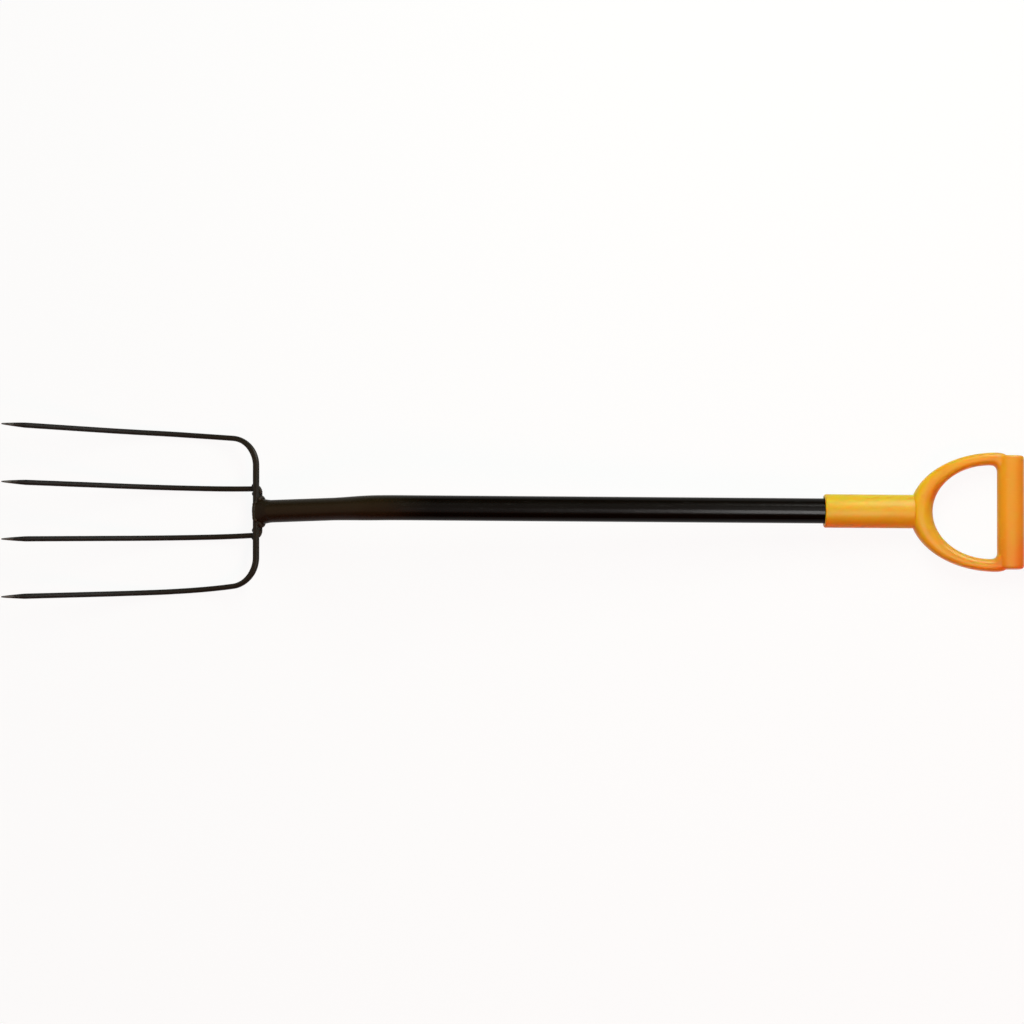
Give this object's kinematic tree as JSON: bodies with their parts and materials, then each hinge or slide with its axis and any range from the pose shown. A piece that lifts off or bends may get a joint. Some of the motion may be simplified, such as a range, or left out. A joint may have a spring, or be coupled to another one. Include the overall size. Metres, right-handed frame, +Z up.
{
  "type": "compost fork",
  "caption": "Long compost fork: pointed curved tines bent from steel bars, welded to a cranked tube shaft with a moulded D handle.",
  "frame": {"origin": "on the ground under the middle of the fork's length, with the fork lying on its back on the bellies of its tines and its grip", "axes": "+X from the tips of the tines to the handle, +Y across the tines to the left, +Z up out of the hollow side of the tines"},
  "size_m": [1.22, 0.211, 0.1092],
  "materials": {
    "bar_paint": "satin black paint over bent steel bar",
    "weld_paint": "the same black paint over rippled weld beads",
    "tube_paint": "smooth semi-gloss black coating",
    "orange_plastic": "satin moulded plastic, warm orange",
    "zinc_plate": "bright zinc plate"
  },
  "bodies": {
    "root": {"outer_tine_bow": "bar_paint", "inner_tine_bow": "bar_paint", "crossbar_weld": "weld_paint", "bow_weld_left": "weld_paint", "bow_weld_right": "weld_paint", "neck_weld_left": "weld_paint", "neck_weld_right": "weld_paint", "neck_weld_front": "weld_paint", "neck_weld_back": "weld_paint", "shaft_tube": "tube_paint", "d_handle": "orange_plastic", "handle_screw": "zinc_plate"}
  },
  "joints": []
}
